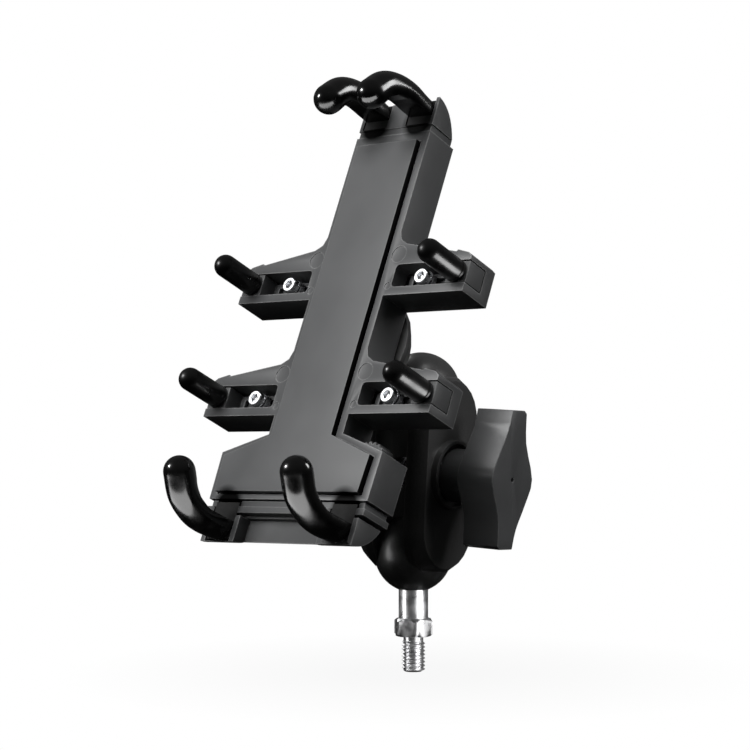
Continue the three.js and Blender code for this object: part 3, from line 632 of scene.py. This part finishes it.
def claw(node, body, offsets, flat, foot, away):
    """A bent rubber bar with a ball-shaped tip, drawn back from the tip's centre, on its foot and spigot."""
    low, high = extent(node, HOLDER)
    across = (low.x + high.x) / 2
    inner = low.y + CLAW_RADIUS if away > 0 else high.y - CLAW_RADIUS
    tip = Vector((across, inner, high.z - CLAW_RADIUS))
    path = smooth_path([tip + Vector((0, away * dy * MM, dz * MM)) for dy, dz in offsets], 10)
    rings = [[flatten(point, tip, away, flat) for point in loop]
             for loop in bar_with_dome(path, CLAW_RADIUS, 72, Vector((1, 0, 0)))]
    spigot = [[path[0] + Vector((x, y, z)) for x, y, z in ring(SPIGOT_RADIUS, height, 72)]
              for height in (-SPIGOT_LENGTH, 0)]
    piece = finish_mesh(f"{node}_rubber", skin([*spigot, *rings]), HOLDER, 45)
    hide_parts(node)
    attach(paint(piece, RUBBER), body)
    GLOSSY.append(piece)
    near, far = sorted(tip.y + away * reach * MM for reach in foot)
    back, front = (tip.z + depth * MM for depth in FOOT_DEPTHS)
    sole = block((across - FOOT_HALF * MM, near, back), (across + FOOT_HALF * MM, far, front))
    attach(paint(finish_mesh(f"{node}_foot", sole, HOLDER), FOOT_RUBBER, RUBBER.name), body)


def finger(row, side):
    """A domed rubber sleeve on its slider's peg, with a small foot ring."""
    node = f"{row}_{side}_finger"
    low, high = extent(node, HOLDER)
    centre = (low + high) / 2
    radius = (high.x - low.x) / 2
    top = high.z
    foot = [(radius - 0.35 * MM, low.z), (radius, low.z + 0.35 * MM), (radius, low.z + 1.5 * MM),
            (radius - 0.12 * MM, low.z + 1.7 * MM), (radius - 0.02 * MM, low.z + 2.2 * MM)]
    dome = arc((0, top - radius), radius, 0, 89.5, 20)
    where = HOLDER @ Matrix.Translation((centre.x, centre.y, 0))
    piece = turned(f"{node}_rubber", [(0.1 * MM, low.z), *foot, *dome], where, 64, 50)
    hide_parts(node)
    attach(paint(piece, FINGER_RUBBER, RUBBER.name), f"{row}_{side}_arm")
    FINGERS.append(piece)


# ---- Screws, washers and springs of the side arms ---------------------------------------------

def cap_screw(name, where, radius, back, top, shaft, end):
    """A socket cap screw along Z: knurled head, hexagonal socket, plain shaft."""
    sides = 120
    socket = 0.48 * radius

    def knurl(angle):
        return radius - 0.035 * radius * (0.5 + 0.5 * math.cos(angle * 30))

    def hexagon(angle):
        return socket / math.cos(angle % (math.pi / 3) - math.pi / 6)

    loops = [(0.05 * MM, end), (shaft - 0.2 * MM, end), (shaft, end + 0.3 * MM), (shaft, back),
             (radius - 0.15 * MM, back), (knurl, back + 0.15 * MM), (knurl, top - 0.45 * MM),
             (radius - 0.08 * MM, top - 0.3 * MM), (radius - 0.4 * MM, top),
             (lambda a: hexagon(a) + 0.12 * MM, top), (hexagon, top - 0.12 * MM), (hexagon, top - 1.3 * MM),
             (0.05 * MM, top - 1.6 * MM)]
    rings = [ring(reach, height, sides) for reach, height in loops]
    return finish_mesh(name, skin(rings), where, 30)


def side_fasteners(row, side):
    """The screw, washer and friction spring that clamp one side arm."""
    screw, washer, spring = (f"{row}_{side}_{part}" for part in ("screw", "washer", "spring"))
    low, high = extent(screw, HOLDER)
    centre = (low + high) / 2
    where = HOLDER @ Matrix.Translation((centre.x, centre.y, 0))
    head = (high.x - low.x) / 2
    back = high.z - 2.6 * MM
    piece = cap_screw(f"{screw}_detail", where, head, back, high.z, 1.5 * MM, low.z)
    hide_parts(screw)
    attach(paint(piece, ZINC), "holder")
    SCREWS.append(piece)
    low, high = extent(washer, HOLDER)
    outer = (high.x - low.x) / 2
    piece = tube_ring(f"{washer}_detail", [
        (1.8 * MM, low.z), (outer - 0.1 * MM, low.z), (outer, low.z + 0.12 * MM), (outer, high.z - 0.12 * MM),
        (outer - 0.1 * MM, high.z), (1.8 * MM, high.z)], where)
    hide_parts(washer)
    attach(paint(piece, ZINC), "holder")
    low, high = extent(spring, HOLDER)
    piece = finish_mesh(f"{spring}_coil", skin(coil_rings(2.35 * MM, 0.32 * MM, low.z, high.z, 3.0)), where)
    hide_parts(spring)
    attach(paint(piece, SPRING), "holder")


# ---- Springs that stretch ----------------------------------------------------------------------

def arm_spring():
    """The coil round the clamp bolt that pushes the arm's halves apart."""
    low, high = extent("arm_spring", BOLT)
    piece = finish_mesh("arm_spring_coil", skin(coil_rings(4.3 * MM, 0.62 * MM, low.z, high.z, 5.0)), BOLT)
    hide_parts("arm_spring")
    paint(piece, SPRING)
    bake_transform(piece)


def top_return_spring():
    """The long coil inside the column that pulls the top clamp home."""
    along = HOLDER @ Matrix.Rotation(-math.pi / 2, 4, "X")
    low, high = extent("top_return_spring", along)
    centre = (low + high) / 2
    where = along @ Matrix.Translation((centre.x, centre.y, 0))
    rings = coil_rings(1.9 * MM, 0.38 * MM, low.z, high.z, 22.0, sides=8, steps=20)
    piece = finish_mesh("top_return_spring_coil", skin(rings), where)
    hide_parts("top_return_spring")
    paint(piece, SPRING)
    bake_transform(piece)


def lock_wheel():
    """The serrated wheel in the right shoulder, with a rounded edge on every tooth."""
    low, high = extent("bottom_lock_wheel", HOLDER)
    centre = (low + high) / 2
    outer = (high.x - low.x) / 2
    teeth, sides = 24, 240

    def edge(inset):
        def radius(angle):
            wave = abs((angle * teeth / (2 * math.pi)) % 1.0 - 0.5) * 2
            return outer - inset - 0.85 * MM * (1 - min(1.0, 1.35 * wave))
        return radius

    where = HOLDER @ Matrix.Translation((centre.x, centre.y, 0))
    bore = 1.8 * MM
    round_off = 0.3 * MM
    loops = [(bore, low.z), (edge(round_off), low.z), (edge(0.0), low.z + round_off),
             (edge(0.0), high.z - round_off), (edge(round_off), high.z), (bore, high.z)]
    piece = tube_ring("lock_wheel_teeth", loops, where, sides, 40)
    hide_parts("bottom_lock_wheel")
    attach(paint(piece, BODY), "lock_wheel")


# ---- Studio --------------------------------------------------------------------------------------

def direction(azimuth, elevation):
    """A unit vector towards a place seen from the object; azimuth 0 is the front and 90 the right."""
    a, e = math.radians(azimuth), math.radians(elevation)
    return Vector((math.sin(a) * math.cos(e), -math.cos(a) * math.cos(e), math.sin(e)))


def camera():
    """The photograph's viewpoint: from the front right, level with the clamp."""
    back = direction(CAMERA_AZIMUTH, CAMERA_ELEVATION)
    data = bpy.data.cameras.new("camera")
    data.lens = CAMERA_LENS
    data.sensor_width = 36.0
    data.clip_start, data.clip_end = 0.01, 50.0
    eye = bpy.data.objects.new("camera", data)
    eye.location = UPPER_BALL + AIM_FROM_UPPER_BALL + CAMERA_DISTANCE * back
    eye.rotation_euler = (-back).to_track_quat("-Z", "Y").to_euler()
    bpy.context.scene.collection.objects.link(eye)
    bpy.context.scene.camera = eye


def floor():
    """A pale disc under the stud that fades into the white surroundings. Only the camera sees it."""
    bm = bmesh.new()
    bmesh.ops.create_circle(bm, cap_ends=True, segments=96, radius=FLOOR_RADIUS)
    mesh = bpy.data.meshes.new("floor")
    bm.to_mesh(mesh)
    bm.free()
    sheet = bpy.data.objects.new("floor", mesh)
    sheet.location.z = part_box("ball_stud")[0].z - FLOOR_BELOW_STUD
    bpy.context.scene.collection.objects.link(sheet)
    finish = Paint("floor")
    finish.set(Base_Color=(0.86, 0.86, 0.86, 1), Roughness=0.7)
    length = finish.tree.nodes.new("ShaderNodeVectorMath")
    length.operation = "LENGTH"
    finish.link(finish.place, length.inputs[0])
    far = finish.between(length.outputs["Value"], 0.93, 1.0, 0.02, 0.12)
    glow = finish.node("ShaderNodeEmission", Color=(1, 1, 1, 1), Strength=1.0)
    behind = finish.node("ShaderNodeNewGeometry").outputs["Backfacing"]
    clear = finish.node("ShaderNodeBsdfTransparent")
    to_eye = finish.node("ShaderNodeLightPath").outputs["Is Camera Ray"]
    mixer, seen, under = (finish.node("ShaderNodeMixShader") for _ in range(3))
    output = next(n for n in finish.tree.nodes if n.type == "OUTPUT_MATERIAL")
    finish.link(far, mixer.inputs[0])
    finish.link(finish.shader.outputs[0], mixer.inputs[1])
    finish.link(glow.outputs[0], mixer.inputs[2])
    finish.link(behind, under.inputs[0])
    finish.link(to_eye, seen.inputs[0])
    finish.link(clear.outputs[0], seen.inputs[1])
    finish.link(mixer.outputs[0], seen.inputs[2])
    finish.link(seen.outputs[0], under.inputs[1])
    finish.link(clear.outputs[0], under.inputs[2])
    finish.link(under.outputs[0], output.inputs["Surface"])
    mesh.materials.append(finish.material)


def surroundings():
    """White to the eye; to the object a soft sky, brighter above than below."""
    world = bpy.data.worlds.new("studio")
    bpy.context.scene.world = world
    world.use_nodes = True
    nodes, links = world.node_tree.nodes, world.node_tree.links
    nodes.clear()
    rays = nodes.new("ShaderNodeLightPath")
    place_node = nodes.new("ShaderNodeTexCoord")
    split = nodes.new("ShaderNodeSeparateXYZ")
    ramp = nodes.new("ShaderNodeValToRGB")
    ramp.color_ramp.elements[0].position, ramp.color_ramp.elements[0].color = 0.35, (0.008, 0.008, 0.008, 1)
    ramp.color_ramp.elements[1].position, ramp.color_ramp.elements[1].color = 0.9, (0.14, 0.14, 0.14, 1)
    shift = nodes.new("ShaderNodeMapRange")
    shift.inputs["From Min"].default_value = -1
    seen = nodes.new("ShaderNodeBackground")
    unseen = nodes.new("ShaderNodeBackground")
    seen.inputs["Color"].default_value = (1, 1, 1, 1)
    mixer = nodes.new("ShaderNodeMixShader")
    output = nodes.new("ShaderNodeOutputWorld")
    links.new(place_node.outputs["Generated"], split.inputs[0])
    links.new(split.outputs["Z"], shift.inputs["Value"])
    links.new(shift.outputs["Result"], ramp.inputs["Fac"])
    links.new(ramp.outputs["Color"], unseen.inputs["Color"])
    links.new(rays.outputs["Is Camera Ray"], mixer.inputs[0])
    links.new(unseen.outputs[0], mixer.inputs[1])
    links.new(seen.outputs[0], mixer.inputs[2])
    links.new(mixer.outputs[0], output.inputs["Surface"])


def softbox(name, azimuth, elevation, distance, width, height, watts, receivers, aim, mirror):
    """A soft light on some pieces, from a direction like the camera's, or a card that they only mirror."""
    back = direction(azimuth, elevation)
    data = bpy.data.lights.new(name, "AREA")
    data.shape = "RECTANGLE"
    data.size, data.size_y, data.energy = width, height, watts
    lamp = bpy.data.objects.new(name, data)
    lamp.location = aim + distance * back
    lamp.rotation_euler = (-back).to_track_quat("-Z", "Y").to_euler()
    lamp.visible_camera = False
    lamp.visible_diffuse = not mirror
    lamp.light_linking.receiver_collection = receivers
    bpy.context.scene.collection.objects.link(lamp)


# Each lamp's direction (azimuth, elevation), distance, width, height, watts and the pieces that it lights.
LAMPS = {
    "key": (-18, 35, 0.9, 0.35, 0.5, 8.2, "matt"),
    "side": (102, 25, 0.9, 0.3, 0.6, 3.4, "matt"),
    "top": (27, 78, 0.8, 0.6, 0.3, 1.8, "matt"),
    "rim": (-113, 30, 0.9, 0.3, 0.6, 1.8, "matt"),
}
# The cards round the claws and round the stud, in the same way, that some pieces mirror.
CLAW_CARDS = {
    "spot": (-48, 23, 0.7, 0.08, 0.08, 3.2, "glossy"),
    "window": (132, 28, 0.7, 0.17, 0.27, 1.9, "glossy"),
    "low card": (6, -51, 0.42, 1.3, 0.3, 7.0, "glossy"),
    "finger spot": (-48, 23, 0.7, 0.1, 0.1, 2.0, "finger"),
    "finger card": (121, -35, 0.5, 0.26, 0.26, 2.0, "finger"),
    "screw card": (-59, 34, 0.6, 0.3, 0.3, 0.55, "screw"),
}
STUD_CARDS = {
    "metal card": (88, 3, 0.5, 0.4, 0.5, 2.1, "metal"),
    "metal edge": (-40, 8, 0.5, 0.16, 0.4, 0.9, "metal"),
}


def studio():
    meshes = [piece for piece in bpy.context.scene.objects if piece.type == "MESH"]
    matt = [piece for piece in meshes if piece not in GLOSSY + FINGERS]
    members = {"glossy": GLOSSY, "finger": FINGERS, "metal": METAL, "screw": SCREWS, "matt": matt}
    groups = {}
    for name, pieces in members.items():
        groups[name] = bpy.data.collections.new(f"{name} pieces")
        for piece in pieces:
            groups[name].objects.link(piece)
    pad = middle("front_pad", HOLDER)
    claws = HOLDER @ Vector((0, pad.y, pad.z))
    for lamps, aim in ((LAMPS, UPPER_BALL), (CLAW_CARDS, claws), (STUD_CARDS, LOWER_BALL)):
        for name, (*shape, receivers) in lamps.items():
            softbox(name, *shape, groups[receivers], aim, mirror=lamps is not LAMPS)
    surroundings()
    floor()
    camera()
    bpy.context.scene.view_settings.view_transform = "Standard"
    bpy.context.scene.view_settings.look = "None"


# ---- Assembly --------------------------------------------------------------------------------------

dress_frame_pieces()
stud()
ball("lower_ball_cover", "lower_swivel", LOWER_BALL, Vector((0, 0, -1)), LOWER_NECK)
ball("upper_ball_cover", "upper_tilt", UPPER_BALL, axis_of("holder_spin"), UPPER_NECK)
for side in SIDES:
    claw(f"top_claw_{side}", "top_clamp", TOP_CLAW, TOP_FLAT, TOP_FOOT, 1)
    claw(f"bottom_claw_{side}", "bottom_clamp", BOTTOM_CLAW, BOTTOM_FLAT, BOTTOM_FOOT, -1)
    for row in ROWS:
        finger(row, side)
        side_fasteners(row, side)
arm_spring()
top_return_spring()
lock_wheel()
studio()
